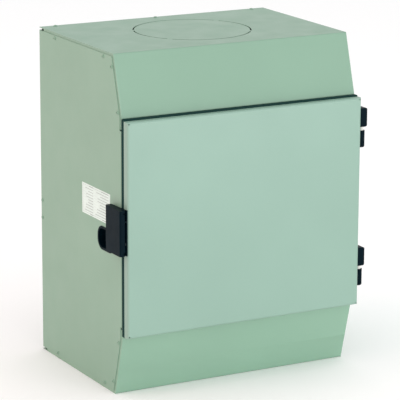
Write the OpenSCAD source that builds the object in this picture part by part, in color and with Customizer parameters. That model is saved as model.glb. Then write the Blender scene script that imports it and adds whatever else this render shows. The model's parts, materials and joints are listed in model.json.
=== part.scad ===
// Ducted air filter cabinet: a folded sheet steel shell with a gasketed door, a fan above a
// round filter cartridge, and knock-out and collar ports for round duct. Millimetres, +Z up.
// The origin is on the surface it stands on, under the centre of its overall box.

/* [Cabinet] */
// Width across the two side walls
cab_w = 450; // [420:5:560]
// Height of the cabinet
cab_h = 585; // [550:5:720]
// Depth from the door frame to the back wall
cab_d = 318; // [310:2:400]
// Thickness of the folded sheet steel
sheet_t = 1.2; // [0.9:0.1:1.5]
// Outside radius of each fold in the shell
fold_r = 3; // [2:0.2:3.2]
// Height of the sloping face above the door
top_slope_h = 102; // [90:1:115]
// Depth that the upper slope sets back
top_slope_d = 30; // [20:1:40]
// Height of the sloping face below the door
low_slope_h = 102; // [90:1:110]
// Depth that the lower slope sets back
low_slope_d = 28; // [20:1:40]
// Width of the flat frame that the door seals against
frame_w = 22; // [20:1:26]
// Width of the hidden flanges that join the shell's sheets
flange_w = 14; // [12:1:18]
// Set-back of the side walls' cut edges from the folded faces
edge_set = 5; // [3:0.5:5]

/* [Duct ports] */
// Outside diameter of the slot around the top knock-out
knock_d = 206; // [150:1:210]
// Width of that slot
knock_slot = 2.5; // [1.2:0.1:3]
// Outside diameter of the inlet duct collar
collar_d = 203; // [150:1:206]
// Length that the collar stands out of the back
collar_len = 40; // [30:1:60]
// Height of the collar's centre
collar_z = 205; // [190:1:230]

/* [Door] */
// Gap between the upper slope's foot and the top of the door
door_gap_top = 4; // [3:0.5:10]
// Gap between the door's foot and the lower slope
door_gap_low = 8; // [4:0.5:12]
// Depth of the door's folded edge
door_edge = 13; // [9:0.5:14]
// Thickness of the sealing strip, closed
gasket_t = 10; // [8:0.5:14]
// Width of the sealing strip
gasket_w = 13.5; // [10:0.5:15]
// Outside radius of the folds along the door's edges
door_fold_r = 4; // [3:0.5:5]

/* [Hinges] */
// Height of each hinge's foot above the base
hinge_z = [141, 389];
// Radius of the lower knuckle
knuckle_r = 6.5; // [5.5:0.1:7]
// Height of the lower knuckle
knuckle_h = 29.5; // [24:0.5:36]
// Height of the spacer bush between the knuckles
hinge_bush_h = 8.5; // [6:0.5:10]
// Height of the upper knuckle
upper_knuckle_h = 33; // [28:0.5:40]
// Distance of the hinge axis outside the side wall
hinge_out = 9; // [8.5:0.1:10]
// Diameter of the hinge pin
hinge_pin_d = 5; // [4:0.1:6]

/* [Latch] */
// Height of the latch's foot above the base
latch_z = 254; // [240:1:300]
// Height of the latch
latch_h = 78; // [66:1:100]
// Distance that the latch stands out of the side wall
latch_out = 14; // [12.4:0.1:15]
// Length of the paddle behind the door frame's plane
paddle_reach = 32; // [32:1:50]
// Diameter of the latch pin
latch_pin_d = 3; // [2.5:0.1:3.5]
// Height of the finger cup
cup_h = 36; // [34:1:44]
// Depth of the finger cup
cup_depth = 13; // [9:0.5:15]
// Distance from the door frame's plane to the cup's rear end
cup_reach = 86; // [80:1:110]

/* [Filter] */
// Diameter of the cartridge's end caps
filter_d = 254; // [230:1:258]
// Height of the cartridge
filter_h = 270; // [220:1:280]
// Thickness of the carbon wrap
wrap_t = 6; // [4:0.5:8]
// Number of pleats
pleats = 72; // [48:1:96]
// Height of the filter seat above the base
seat_z = 425; // [415:1:440]

/* [Fan] */
// Diameter of the fan wheel
wheel_d = 190; // [170:1:200]
// Height of the fan wheel
wheel_h = 60; // [50:1:64]
// Number of blades
blades = 7; // [5:1:11]
// Diameter of the inlet ring's throat
throat_d = 116; // [100:1:124]

/* [Lining and wiring] */
// Thickness of the foam lining
liner_t = 10; // [8:0.5:12]
// Height of the wiring box's foot
wiring_z = 205; // [190:1:225]
// Height of the wiring box
wiring_h = 110; // [90:1:125]
// Diameter of the hole through the cord gland
gland_bore = 8; // [6:0.1:10]

/* [Hidden] */
$fn = 48;

// Directions and overall places
door_stand = door_edge + gasket_t;
frame_y = -(door_stand + cab_d + collar_len) / 2 + door_stand;
cabinet_x = (latch_out - hinge_out - knuckle_r) / 2;
side_x = cab_w / 2;
wall_x = side_x - sheet_t;
back_y = cab_d - sheet_t;
slope_top_z = cab_h - top_slope_h;
rail_top_z = slope_top_z - frame_w;
rail_low_z = low_slope_h + frame_w;
door_top_z = slope_top_z - door_gap_top;
door_low_z = low_slope_h + door_gap_low;
skin_y = -door_stand;
edge_y = -gasket_t;
touch = 0.1;
slack = 0.3;
running = 0.05;

// Colours
mint = "#a3c5b4";
black = "#1c2226";
steel = "#b9bcbd";
foam = "#3a3f42";
paper = "#eef0ec";

// Outline of the side, from the top rear corner round the front to the bottom rear corner
function side_path(back) = [[back, cab_h], [top_slope_d, cab_h], [0, slope_top_z],
    [0, low_slope_h], [low_slope_d, 0], [back, 0]];

function unit(v) = v / norm(v);
function left_of(v) = [-v[1], v[0]];
function mitre(a, b, t) = t * (left_of(a) + left_of(b)) / (1 + a * b);
function headings(path) = [for (i = [0 : len(path) - 2]) unit(path[i + 1] - path[i])];

// A path moved sideways by t, to the left of its direction
function beside(path, t) = let (d = headings(path), last = len(path) - 1)
    [for (i = [0 : last]) path[i] + (i == 0 ? t * left_of(d[0])
        : i == last ? t * left_of(d[last - 1]) : mitre(d[i - 1], d[i], t))];
function reversed(list) = [for (i = [len(list) - 1 : -1 : 0]) list[i]];
function strip(path, t) = concat(path, reversed(beside(path, t)));

// The arc that replaces corner q of the path p, q, s
function corner(p, q, s, r, steps = 4) = let (
        a = unit(p - q), b = unit(s - q), half = acos(a * b) / 2,
        c = q + unit(a + b) * r / sin(half),
        from = q + a * r / tan(half) - c, to = q + b * r / tan(half) - c,
        start = atan2(from[1], from[0]), turn = atan2(to[1], to[0]) - start,
        sweep = turn > 180 ? turn - 360 : turn < -180 ? turn + 360 : turn)
    [for (i = [0 : steps]) c + r * [cos(start + sweep * i / steps), sin(start + sweep * i / steps)]];
function rounded(path, r) = [path[0],
    for (i = [1 : len(path) - 2]) each corner(path[i - 1], path[i], path[i + 1], r),
    path[len(path) - 1]];

// Points of a cubic curve, and of a helix about the Z axis
function cubic(p, n = 10) = [for (i = [0 : n]) let (t = i / n, u = 1 - t)
    u * u * u * p[0] + 3 * u * u * t * p[1] + 3 * u * t * t * p[2] + t * t * t * p[3]];
function helix(r, z0, z1, turns, steps = 12) = [for (i = [0 : turns * steps])
    [r * cos(360 * i / steps), r * sin(360 * i / steps), z0 + (z1 - z0) * i / (turns * steps)]];

module in_cabinet() { translate([cabinet_x, frame_y, 0]) children(); }
module both_sides() { children(); mirror([1, 0, 0]) children(); }
module box(low, high) { translate(low) cube(high - low); }
module along_x(x0, x1) { translate([x0, 0, 0]) rotate([90, 0, 90]) linear_extrude(x1 - x0) children(); }
module along_y(y0, y1) { translate([0, y1, 0]) rotate([90, 0, 0]) linear_extrude(y1 - y0) children(); }
module along_z(z0, z1) { translate([0, 0, z0]) linear_extrude(z1 - z0) children(); }
module rod_x(x0, x1, y, z, r) { translate([x0, y, z]) rotate([0, 90, 0]) cylinder(r = r, h = x1 - x0); }
module rod_y(y0, y1, x, z, r) { translate([x, y1, z]) rotate([90, 0, 0]) cylinder(r = r, h = y1 - y0); }
module rod_z(z0, z1, x, y, r) { translate([x, y, z0]) cylinder(r = r, h = z1 - z0); }
module ring_z(z0, z1, x, y, r0, r1) {
    difference() {
        rod_z(z0, z1, x, y, r1);
        rod_z(z0 - 1, z1 + 1, x, y, r0);
    }
}
module rounded_plate(low, high, r) {
    for (x = [low[0] + r, high[0] - r], y = [low[1] + r, high[1] - r]) translate([x, y]) circle(r);
    translate([low[0] + r, low[1]]) square([high[0] - low[0] - 2 * r, high[1] - low[1]]);
    translate([low[0], low[1] + r]) square([high[0] - low[0], high[1] - low[1] - 2 * r]);
}

// A round tube swept along points, with a ring at each one
module swept(points, r, sides = 8) {
    last = len(points) - 1;
    head = [for (i = [0 : last]) unit(points[min(i + 1, last)] - points[max(i - 1, 0)])];
    side = [for (i = [0 : last]) unit(cross(head[i], abs(head[i][2]) > 0.9 ? [1, 0, 0] : [0, 0, 1]))];
    polyhedron(
        [for (i = [0 : last], k = [0 : sides - 1]) points[i] + r * cos(360 * k / sides) * side[i]
            + r * sin(360 * k / sides) * cross(head[i], side[i])],
        concat([[for (k = [0 : sides - 1]) k]],
            [for (i = [0 : last - 1], k = [0 : sides - 1]) let (m = (k + 1) % sides)
                [i * sides + k, (i + 1) * sides + k, (i + 1) * sides + m, i * sides + m]],
            [[for (k = [sides - 1 : -1 : 0]) last * sides + k]]));
}

/* Fasteners */
screw_head_r = 3.3;
screw_head_h = 1.8;
screw_r = 1.5;
screw_len = 6;
screw_in = 10;

// A domed screw that points down from the plane z = 0
module screw(len = screw_len) {
    dome = [for (a = [0 : 15 : 90]) [screw_head_r * cos(a), screw_head_h * (0.4 + 0.6 * sin(a))]];
    rotate_extrude($fn = 24) polygon(concat([[0, 0], [screw_head_r, 0]], dome));
    translate([0, 0, -len]) cylinder(r = screw_r, h = len, $fn = 24);
}
module screw_in_x(x, y, z, way, len = screw_len) {
    translate([x, y, z]) rotate([0, -90 * way, 0]) screw(len);
}
module screw_in_y(x, y, z, way, len = screw_len) {
    translate([x, y, z]) rotate([90 * way, 0, 0]) screw(len);
}

// Places of the screws through each side wall into the flanges behind it
top_way = unit([top_slope_d, top_slope_h]);
low_way = unit([low_slope_d, -low_slope_h]);
slope_screw_foot = 10;
slope_screw_top = 20;
top_slope_len = norm([top_slope_d, top_slope_h]);
low_slope_len = norm([low_slope_d, low_slope_h]);
side_screws = concat(
    [for (y = [top_slope_d + 35, cab_d - 65], z = [screw_in, cab_h - screw_in]) [y, z]],
    [for (s = [slope_screw_foot, top_slope_len - slope_screw_top])
        [0, slope_top_z] + s * top_way - screw_in * left_of(top_way)],
    [for (s = [slope_screw_foot, low_slope_len - slope_screw_top])
        [0, low_slope_h] + s * low_way + screw_in * left_of(low_way)]);
back_screw_x = [for (k = [-1 : 1]) k * (side_x - 29)];
back_screw_in = 6;
wiring_screws = [for (z = [-15, 16]) [cab_d - 7, wiring_z + wiring_h / 2 + z]];

module side_screw_holes() {
    both_sides() for (p = side_screws) rod_x(-side_x - 1, -side_x + 8, p[0], p[1], screw_r);
}

/* Shell */
module shell_wrap() in_cabinet() color(mint) {
    outline = beside(side_path(cab_d + edge_set), edge_set);
    wrap = rounded([[-side_x, 0], [-side_x, cab_d], [side_x, cab_d], [side_x, 0]], fold_r);
    stile = rounded([[frame_w - side_x, 0], [-side_x, 0], [-side_x, edge_set + touch + fold_r]], fold_r);
    joint_gap = 0.4;
    difference() {
        union() {
            intersection() {
                along_z(0, cab_h) polygon(strip(wrap, -sheet_t));
                along_x(-side_x, side_x) polygon(outline);
            }
            both_sides() along_z(rail_low_z + joint_gap, rail_top_z - joint_gap)
                polygon(strip(stile, -sheet_t));
            for (end = [0, 1]) translate([0, 0, end * cab_h]) mirror([0, 0, end])
                along_x(edge_set - wall_x, wall_x - edge_set)
                    polygon(strip([[cab_d, flange_w + 2], [cab_d, sheet_t],
                        [cab_d - flange_w, sheet_t]], -sheet_t));
        }
        side_screw_holes();
        back_screw_holes();
        for (p = wiring_screws) rod_x(-side_x - 1, -side_x + 8, p[0], p[1], screw_r);
        rod_y(back_y - 1, cab_d + 1, 0, collar_z, collar_d / 2 + slack);
        for (a = collar_screw_angles) collar_screw_hole(a);
        rod_y(back_y - 1, cab_d + 1, gland_x, gland_z, gland_barrel_r + slack);
        along_x(-side_x - 1, -side_x + 8) cup_outline(slack);
        for (z = keeper_screw_z) rod_x(-side_x - 1, -side_x + 8, keeper_screw_y, z, screw_r);
        for (foot = hinge_z, s = body_leaf_screws)
            rod_x(side_x - 8, side_x + 1, s[0], foot + s[1], screw_r);
    }
}
module back_screw_holes() {
    for (x = back_screw_x) rod_z(cab_h - 4, cab_h + 1, x, cab_d - back_screw_in, screw_r);
}

// A sheet folded over a whole face and its slope, with flanges inside the side walls
module folded_face(path, inner_end) {
    along_x(-wall_x, wall_x) polygon(strip(rounded(path, fold_r), sheet_t));
    both_sides() along_x(-wall_x, sheet_t - wall_x) polygon(strip(inner_end, flange_w));
}
module top_panel() in_cabinet() color(mint) {
    knock_out_tabs = [37, 158, 220, 325];
    tab_w = 9;
    difference() {
        folded_face([[cab_d, cab_h], [top_slope_d, cab_h], [0, slope_top_z], [0, rail_top_z]],
            [[back_y - flange_w - 2, cab_h], [top_slope_d, cab_h], [0, slope_top_z], [0, rail_top_z + 2]]);
        side_screw_holes();
        back_screw_holes();
        translate([0, (top_slope_d + cab_d) / 2, 0]) difference() {
            ring_z(cab_h - sheet_t - 1, cab_h + 1, 0, 0, knock_d / 2 - knock_slot, knock_d / 2, $fn = 96);
            for (a = knock_out_tabs) rotate([0, 0, a])
                box([knock_d / 2 - 5, -tab_w / 2, cab_h - 5], [knock_d / 2 + 5, tab_w / 2, cab_h + 2]);
        }
    }
}
module bottom_panel() in_cabinet() color(mint) difference() {
    mirror([0, 0, 1])
        folded_face([[cab_d, 0], [low_slope_d, 0], [0, -low_slope_h], [0, -rail_low_z], [12, -rail_low_z]],
            [[back_y - flange_w - 2, 0], [low_slope_d, 0], [0, -low_slope_h], [0, 4 - rail_low_z]]);
    side_screw_holes();
}
module shell_screws() in_cabinet() color(mint) {
    both_sides() for (p = side_screws) screw_in_x(-side_x, p[0], p[1], 1);
    for (x = back_screw_x) translate([x, cab_d - back_screw_in, cab_h]) screw();
    for (p = wiring_screws) screw_in_x(-side_x, p[0], p[1], 1);
}

/* Inlet collar */
collar_t = 1;
collar_flange = 16;
collar_screw_angles = [30 : 60 : 330];
collar_screw_pcd_r = collar_d / 2 + 9;
module collar_screw_hole(a) {
    rod_y(back_y - 8, cab_d + 4, collar_screw_pcd_r * cos(a), collar_z + collar_screw_pcd_r * sin(a),
        screw_r);
}
module inlet_collar() in_cabinet() color(steel) difference() {
    bead = 1.5;
    bead_at = 11;
    r = collar_d / 2;
    translate([0, cab_d, collar_z]) rotate([-90, 0, 0]) rotate_extrude($fn = 96) polygon(concat(
        [[r - collar_t, -4], [r, -4], [r, 0], [r + collar_flange, 0], [r + collar_flange, collar_t],
        [r, collar_t]],
        [for (a = [-90 : 30 : 90]) [r + bead * cos(a), bead_at + bead * sin(a)]],
        [[r, collar_len], [r - collar_t, collar_len]]));
    for (a = collar_screw_angles) collar_screw_hole(a);
}

// The plated screws of the collar, the keeper, the hinges' fixed leaves and the wiring cover
module fixing_screws() in_cabinet() color(steel) {
    for (a = collar_screw_angles)
        screw_in_y(collar_screw_pcd_r * cos(a), cab_d + collar_t,
            collar_z + collar_screw_pcd_r * sin(a), -1);
    for (z = keeper_screw_z) screw_in_x(-side_x - keeper_base_t, keeper_screw_y, z, 1);
    for (foot = hinge_z, s = body_leaf_screws) screw_in_x(side_x + leaf_t, s[0], foot + s[1], -1);
    for (z = cover_screw_z) screw_in_x(box_x1 + box_t - wall_x, back_y - box_d / 2, z, -1);
}

/* Label and finger cup */
label_size = [107, 53];
label_at = [41, 292];
label_t = 0.4;
module rating_label() in_cabinet() color(paper)
    box([-side_x - label_t, label_at[0], label_at[1]],
        [-side_x, label_at[0] + label_size[0], label_at[1] + label_size[1]]);

cup_z = latch_z - 8;
cup_front = 30;
cup_r = 15;
cup_wall = 1.6;
cup_rim = 2.6;
cup_rim_t = 1;
module cup_outline(grow) {
    rounded_plate([cup_front - grow, cup_z - grow], [cup_reach + grow, cup_z + cup_h + grow], cup_r + grow);
}
module finger_cup() in_cabinet() color(black) difference() {
    union() {
        along_x(-side_x - cup_rim_t, -side_x) cup_outline(cup_rim);
        along_x(-side_x, cup_depth - side_x) cup_outline(0);
    }
    along_x(-side_x - 5, cup_depth - side_x - cup_wall) cup_outline(-cup_wall);
}

/* Latch */
base_t = 1.7;
nose_r = (latch_out - base_t - slack) / 2;
pin_x = -side_x - latch_out + nose_r;
pin_y = skin_y + nose_r;
latch_top = latch_z + latch_h;
cheek_t = 3;
lug_h = 3;
lug_gap = 0.4;
lug_r = latch_pin_d / 2 + 1.9;
lug_arm = 2;
lug_z = [latch_z + cheek_t + lug_gap, latch_top - cheek_t - lug_gap - lug_h];
pin_cover = 1.2;
coil_room = 3.8;
base_rear = -2;
paddle_in = -side_x - base_t - slack;
paddle_skin = 3;
keeper_y = 12;
keeper_t = 3;
keeper_lip = 6;
keeper_z = [latch_top - 38, latch_top - 10];
keeper_screw_y = 24;
keeper_screw_z = [keeper_z[0] + 6, keeper_z[1] - 6];
keeper_base_t = 1.2;
hook_gap = 0.3;
latch_screw_z = [latch_z + 20, latch_top - 20];
latch_screw_y = (skin_y + edge_y) / 2;
spring_z = [latch_z + 31, latch_z + 45];

module keeper() in_cabinet() color(steel) difference() {
    union() {
        box([-side_x - keeper_base_t, keeper_y - 6, keeper_z[0]],
            [-side_x, keeper_screw_y + 6, keeper_z[1]]);
        box([-side_x - keeper_lip, keeper_y, keeper_z[0]], [-side_x, keeper_y + keeper_t, keeper_z[1]]);
    }
    for (z = keeper_screw_z) rod_x(-side_x - 8, -side_x + 1, keeper_screw_y, z, screw_r);
}

module latch_base() in_cabinet() color(black) difference() {
    union() {
        box([-side_x - base_t, skin_y + 0.5, latch_z], [-side_x, base_rear, latch_top]);
        for (z = lug_z) {
            rod_z(z, z + lug_h, pin_x, pin_y, lug_r);
            box([pin_x, pin_y - lug_arm, z], [-side_x, pin_y + lug_arm, z + lug_h]);
        }
    }
    rod_z(latch_z - 1, latch_top + 1, pin_x, pin_y, latch_pin_d / 2);
    for (z = latch_screw_z) {
        rod_x(-side_x - 5, -side_x + 5, latch_screw_y, z, screw_r);
        translate([-side_x - base_t, latch_screw_y, z]) rotate([0, 90, 0])
            cylinder(r1 = screw_head_r, r2 = screw_r, h = base_t);
    }
}
module latch_screws() in_cabinet() color(steel)
    for (z = latch_screw_z) translate([-side_x - base_t, latch_screw_y, z]) rotate([0, 90, 0]) {
        cylinder(r1 = screw_head_r, r2 = screw_r, h = base_t);
        cylinder(r = screw_r, h = 6);
    }
module latch_pin() in_cabinet() color(steel)
    rod_z(latch_z, latch_top - pin_cover - slack, pin_x, pin_y, latch_pin_d / 2);

module latch_paddle() in_cabinet() color(black) {
    low = latch_z + cheek_t;
    high = latch_top - cheek_t;
    rear = paddle_reach;
    ease = 2;
    difference() {
        union() {
            rod_z(latch_z, latch_top, pin_x, pin_y, nose_r);
            along_z(latch_z, latch_top) polygon([[pin_x - nose_r, pin_y - nose_r + ease],
                [pin_x - nose_r + ease, pin_y - nose_r], [pin_x, pin_y - nose_r], [pin_x, pin_y],
                [paddle_in, pin_y], [paddle_in, rear - ease / 2], [paddle_in - ease / 2, rear],
                [pin_x - nose_r + ease, rear], [pin_x - nose_r, rear - ease]]);
        }
        for (z = lug_z) {
            rod_z(z - lug_gap, z + lug_h + lug_gap, pin_x, pin_y, lug_r + lug_gap);
            box([pin_x, pin_y - nose_r - 1, z - lug_gap],
                [-side_x, pin_y + lug_arm + lug_gap, z + lug_h + lug_gap]);
        }
        rod_z(latch_z - 1, latch_top - pin_cover, pin_x, pin_y, latch_pin_d / 2 + running);
        box([pin_x - nose_r + paddle_skin, pin_y + 9, low], [-side_x, rear - 3, high]);
        box([pin_x - nose_r + paddle_skin, rear - 4, low], [-side_x, rear + 1, keeper_z[0] - 4]);
        rod_z(spring_z[0], spring_z[1], pin_x, pin_y, coil_room);
        box([pin_x, pin_y - coil_room, spring_z[0]], [-side_x, pin_y + 10, spring_z[1]]);
    }
    hook_y = keeper_y + keeper_t + slack;
    box([pin_x - nose_r + paddle_skin - touch, hook_y, low - touch],
        [-side_x - keeper_lip - hook_gap, hook_y + 3, high + touch]);
}
module latch_spring() in_cabinet() color(steel) translate([pin_x, pin_y, 0]) {
    wire = 0.8;
    coil_r = latch_pin_d / 2 + 0.4 + wire / 2 + 0.3;
    swept(helix(coil_r, spring_z[0] + 2, spring_z[1] - 2, 5), wire / 2, 6);
}

/* Hinges */
axis_x = side_x + hinge_out;
axis_y = edge_y + 2;
leaf_t = 3.5;
block_out = 14;
block_front = skin_y + 2;
block_rear = axis_y + 6.5;
bush_r = 4.4;
body_leaf_screws = [[14, 9], [32, 9], [14, 27], [32, 27]];
leaf_len = 42;
leaf_h = 36;
block_screw_y = block_front + screw_head_r + slack + 1.2;
block_screws = [8, 25];
block_screw_seat = 4;
upper_z = knuckle_h + hinge_bush_h;
hinge_top = upper_z + upper_knuckle_h;

module hinge_body_leaves() in_cabinet() color(black) for (foot = hinge_z) translate([0, 0, foot])
    difference() {
    union() {
        rod_z(1.5, knuckle_h, axis_x, axis_y, knuckle_r);
        translate([axis_x, axis_y, 0]) cylinder(r1 = knuckle_r - 1.5, r2 = knuckle_r, h = 1.5);
        along_z(0, knuckle_h) polygon([[side_x, 0.5], [axis_x - 2, axis_y + 1],
            [axis_x + knuckle_r - 1.8, axis_y + 2], [side_x + leaf_t, 8], [side_x, 8]]);
        along_x(side_x, side_x + leaf_t) rounded_plate([0.5, 0], [leaf_len, leaf_h], 3);
    }
    rod_z(-1, leaf_h + 1, axis_x, axis_y, hinge_pin_d / 2);
    for (s = body_leaf_screws) rod_x(side_x - 1, side_x + leaf_t + 1, s[0], s[1], screw_r);
}
module hinge_pins() in_cabinet() color(steel)
    for (foot = hinge_z) rod_z(foot + 2, foot + hinge_top - 4, axis_x, axis_y, hinge_pin_d / 2);
module hinge_bushes() in_cabinet() color(paper)
    for (foot = hinge_z)
        ring_z(foot + knuckle_h, foot + upper_z - touch, axis_x, axis_y, hinge_pin_d / 2 + running, bush_r);

module hinge_door_leaves() in_cabinet() color(black)
    for (foot = hinge_z) translate([0, 0, foot + upper_z]) difference() {
        ease = 3.5;
        x1 = side_x + block_out;
        intersection() {
            along_y(block_front, block_rear) polygon([[side_x, 0], [x1 - ease, 0], [x1, ease * 0.6],
                [x1, upper_knuckle_h - ease * 0.6], [x1 - ease, upper_knuckle_h],
                [side_x, upper_knuckle_h]]);
            along_z(0, upper_knuckle_h) polygon([[side_x, block_front], [x1 - 1.5, block_front],
                [x1, block_front + 1.5], [x1, block_rear - 3], [x1 - 3, block_rear],
                [side_x + 2, block_rear], [side_x, block_rear - 2]]);
        }
        rod_z(-1, upper_knuckle_h - 3, axis_x, axis_y, hinge_pin_d / 2 + running);
        for (z = block_screws) {
            rod_x(side_x - 1, x1 + 1, block_screw_y, z, screw_r);
            rod_x(side_x + block_screw_seat, x1 + 1, block_screw_y, z, screw_head_r + slack);
        }
    }
module hinge_door_screws() in_cabinet() color(steel)
    for (foot = hinge_z, z = block_screws)
        screw_in_x(side_x + block_screw_seat, block_screw_y, foot + upper_z + z, -1, 8);

/* Door */
// How far the strip stands above and below the door
gasket_rise = 2.5;
gasket_drop = 1;
panel_t = 1;
panel_in = gasket_w + 0.5;
rivet_step = 4;
rivet_head_r = 3;
rivet_in = panel_in + rivet_head_r + slack;
door_lip = rivet_in + rivet_head_r + 1;
door_mid_z = (door_low_z + door_top_z) / 2;
door_half_h = (door_top_z - door_low_z) / 2;

module door_pan() in_cabinet() color(mint) difference() {
    intersection() {
        along_z(door_low_z, door_top_z) door_outline(side_x);
        along_x(-side_x, side_x) translate([0, door_mid_z]) mirror([1, -1]) door_outline(door_half_h);
    }
    intersection() {
        along_z(door_low_z, door_top_z) door_outline(side_x, sheet_t);
        along_x(-side_x, side_x) translate([0, door_mid_z]) mirror([1, -1])
            door_outline(door_half_h, sheet_t);
    }
    box([door_lip - side_x, edge_y - 3, door_low_z + door_lip],
        [side_x - door_lip, edge_y + 1, door_top_z - door_lip]);
    for (z = latch_screw_z) rod_x(-side_x - 1, -side_x + 4, latch_screw_y, z, screw_r);
    for (foot = hinge_z, z = block_screws)
        rod_x(side_x - 4, side_x + 1, block_screw_y, foot + upper_z + z, screw_r);
    door_rivet_places() rod_y(edge_y - 4, edge_y + 1, 0, 0, screw_r);
    for (x = [-1, 1], z = [door_low_z + relief_in, door_top_z - relief_in])
        rod_y(skin_y - 1, skin_y + 4, x * (side_x - relief_in), z, relief_r);
}
// Relief holes where the folds meet at the door's corners
relief_in = 3.2;
relief_r = 1.2;
// Cross-section of the door across half-width w, inset by t from its faces
module door_outline(w, t = 0) {
    path = rounded([[t - w, edge_y - t], [t - w, skin_y + t], [w - t, skin_y + t], [w - t, edge_y - t]],
        door_fold_r - t);
    polygon(path);
}
module door_rivet_places() {
    for (i = [0 : rivet_step]) {
        x = (side_x - rivet_in) * (2 * i / rivet_step - 1);
        for (z = [door_low_z + rivet_in, door_top_z - rivet_in]) translate([x, 0, z]) children();
    }
    for (s = [-1, 1], i = [1 : rivet_step - 1])
        translate([s * (side_x - rivet_in), 0, door_low_z + rivet_in
            + (door_top_z - door_low_z - 2 * rivet_in) * i / rivet_step]) children();
}
module door_inner_panel() in_cabinet() color(mint) difference() {
    union() {
        box([panel_in - side_x, edge_y, door_low_z + panel_in],
            [side_x - panel_in, edge_y + panel_t, door_top_z - panel_in]);
        box([switch_x - 5, edge_y, switch_z - 5], [switch_x + 5, plunger_tip - touch, switch_z + 5]);
    }
    box([switch_x - 3.8, edge_y - 1, switch_z - 3.8], [switch_x + 3.8, plunger_tip - 2, switch_z + 3.8]);
    door_rivet_places() rod_y(edge_y - 1, edge_y + panel_t + 1, 0, 0, screw_r);
}
module door_insulation() in_cabinet() color(foam)
    box([sheet_t + slack + 4 - side_x, skin_y + sheet_t + touch, door_low_z + sheet_t + 5],
        [side_x - sheet_t - 5, edge_y - sheet_t - 1.2, door_top_z - sheet_t - 5]);
module door_gasket() in_cabinet() color(foam) difference() {
    box([-side_x, edge_y, door_low_z - gasket_drop], [side_x, -touch, door_top_z + gasket_rise]);
    box([gasket_w - side_x, edge_y - 1, door_low_z + gasket_w],
        [side_x - gasket_w, 1, door_top_z - gasket_w]);
}
module door_rivets() in_cabinet() color(steel)
    door_rivet_places() translate([0, edge_y + panel_t, 0]) rotate([-90, 0, 0]) {
        cylinder(r1 = rivet_head_r, r2 = 2.2, h = 1);
        translate([0, 0, -panel_t - sheet_t - 0.6]) cylinder(r = screw_r, h = panel_t + sheet_t + 0.6);
    }

/* Filter seat and fan */
fan_y = (cab_d - liner_t) / 2;
seat_top = seat_z + sheet_t;
seat_r = 80;
ring_rise = 24;
ring_t = 1.2;
ring_flange_r = 96;
throat_r = throat_d / 2;
wheel_r = wheel_d / 2;
wheel_z = seat_top + ring_rise + 1;
wheel_sheet = 1.6;
tip_gap = 1.4;
eye_r = throat_r + ring_t + wheel_sheet + tip_gap;
wheel_top = wheel_z + wheel_h;
can_r = 46;
can_h = 42;
can_z = wheel_top - can_h;
flange_z = wheel_top + 2;
flange_t = 5;
bracket_t = 2.5;
bracket_z = flange_z + flange_t;
bracket_x = wheel_r + 20;
bracket_half = 30;
foot_len = 20;
isolator_h = 10;
isolator_r = 8;
shaft_r = 4;
grommet_at = [-wall_x + 42, back_y - 42];
grommet_r = 9;
lead_r = 3.5;

module at_fan() { translate([0, fan_y, 0]) children(); }
module baffle() in_cabinet() color(steel) difference() {
    half = wall_x - (fold_r - sheet_t) - slack;
    along_x(-half, half) polygon(strip([[sheet_t, rail_top_z + 12], [sheet_t, seat_z],
        [back_y, seat_z], [back_y, seat_z + flange_w]], sheet_t));
    at_fan() {
        rod_z(seat_z - 1, seat_top + 1, 0, 0, seat_r);
        ring_rivet_places() rod_z(seat_z - 1, seat_top + 1, 0, 0, screw_r);
        isolator_places() rod_z(seat_z - 1, seat_top + 1, 0, 0, 2);
        for (x = [-1, 1]) rod_z(seat_z - 1, seat_top + 1, x * support_bolt_x, 0, screw_r);
    }
    rod_z(seat_z - 1, seat_top + 1, grommet_at[0], grommet_at[1], grommet_r);
}
module ring_rivet_places() {
    for (a = [22.5 : 45 : 360]) rotate([0, 0, a]) translate([ring_flange_r - 6, 0, 0]) children();
}
module isolator_places() {
    for (x = [-1, 1], y = [-1, 1])
        translate([x * (bracket_x + foot_len / 2), y * (bracket_half - 10), 0]) children();
}
module inlet_ring() in_cabinet() color(steel) at_fan() difference() {
    bell = ring_rise - 4;
    path = concat([[ring_flange_r, 0], [throat_r + bell, 0]],
        [for (a = [75 : -15 : 0]) [throat_r + bell * (1 - cos(a)) , bell * (1 - sin(a))]],
        [[throat_r, ring_rise + 7]]);
    translate([0, 0, seat_top]) rotate_extrude($fn = 72) polygon(strip(path, -ring_t));
    ring_rivet_places() rod_z(seat_top - 1, seat_top + 3, 0, 0, screw_r);
    for (x = [-1, 1]) rod_z(seat_top - 1, seat_top + 3, x * support_bolt_x, 0, screw_r);
}
module inlet_ring_rivets() in_cabinet() color(steel) at_fan()
    ring_rivet_places() translate([0, 0, seat_top + ring_t]) {
        cylinder(r1 = 3, r2 = 2.2, h = 1);
        translate([0, 0, -ring_t - sheet_t]) cylinder(r = screw_r, h = ring_t + sheet_t);
    }
module fan_isolators() in_cabinet() color(black) at_fan() isolator_places() {
    rod_z(seat_top, seat_top + isolator_h, 0, 0, isolator_r);
    rod_z(seat_z - 1, seat_top + isolator_h + bracket_t + 2, 0, 0, 2);
    rod_z(seat_top + isolator_h + bracket_t, seat_top + isolator_h + bracket_t + 3, 0, 0, 4, $fn = 6);
}
module fan_bracket() in_cabinet() color(steel) at_fan() difference() {
    foot = seat_top + isolator_h;
    path = [[-bracket_x - foot_len, foot], [-bracket_x, foot], [-bracket_x, bracket_z],
        [bracket_x, bracket_z],
        [bracket_x, foot], [bracket_x + foot_len, foot]];
    along_y(-bracket_half, bracket_half) polygon(strip(path, bracket_t));
    isolator_places() rod_z(foot - 1, foot + bracket_t + 1, 0, 0, 2);
    for (a = [45 : 90 : 315]) rotate([0, 0, a])
        rod_z(bracket_z - 1, bracket_z + bracket_t + 1, motor_bolt_r, 0, screw_r);
    rod_z(bracket_z - 1, bracket_z + bracket_t + 1, 0, 0, 14);
}
motor_bolt_r = 24;
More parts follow.
